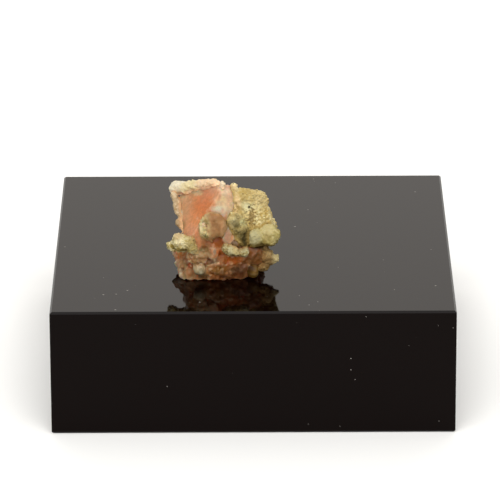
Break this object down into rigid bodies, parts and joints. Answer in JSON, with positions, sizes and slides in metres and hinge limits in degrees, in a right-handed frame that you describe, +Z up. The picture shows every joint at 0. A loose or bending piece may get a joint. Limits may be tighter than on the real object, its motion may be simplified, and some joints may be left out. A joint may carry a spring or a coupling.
{
  "type": "fluorite crystal specimen",
  "caption": "Intergrown pink octahedral fluorite crystals with feldspar, albite crust and quartz grains, standing on a square polished black display block.",
  "frame": {"origin": "centre of the display block's underside", "axes": "+Z up, -Y towards the front, the side the large crystal's faces look to, and +X to the right seen from the front"},
  "size_m": [0.06, 0.06, 0.0343],
  "materials": {
    "black_acrylic": "polished cast acrylic, black all through",
    "pink_fluorite": "translucent crystal, satin natural faces, frosted edges",
    "tan_quartz": "translucent grain, worn smooth, in part coated",
    "brown_quartz": "translucent glassy grain",
    "white_quartz": "milky translucent grain",
    "grey_cream_feldspar": "dull cleaved blocks",
    "sugary_feldspar": "dull, granular and pitted, with dark green chlorite between the grains",
    "yellow_albite": "granular, dull",
    "tan_albite": "granular, dull, iron stained",
    "white_albite": "platy crust, dull to satin"
  },
  "bodies": {
    "root": {"display_block": "black_acrylic", "fluorite_crystals": "pink_fluorite", "quartz_front_grain": "tan_quartz", "quartz_foot_bead": "tan_quartz", "quartz_corner_grain": "brown_quartz", "quartz_brown_bead": "brown_quartz", "quartz_base_grain": "white_quartz", "feldspar_blocks": "grey_cream_feldspar", "feldspar_matrix": "sugary_feldspar", "albite_knob": "yellow_albite", "albite_ledge": "yellow_albite", "albite_nub": "tan_albite", "albite_crust": "white_albite", "albite_plates": "white_albite"}
  },
  "joints": []
}
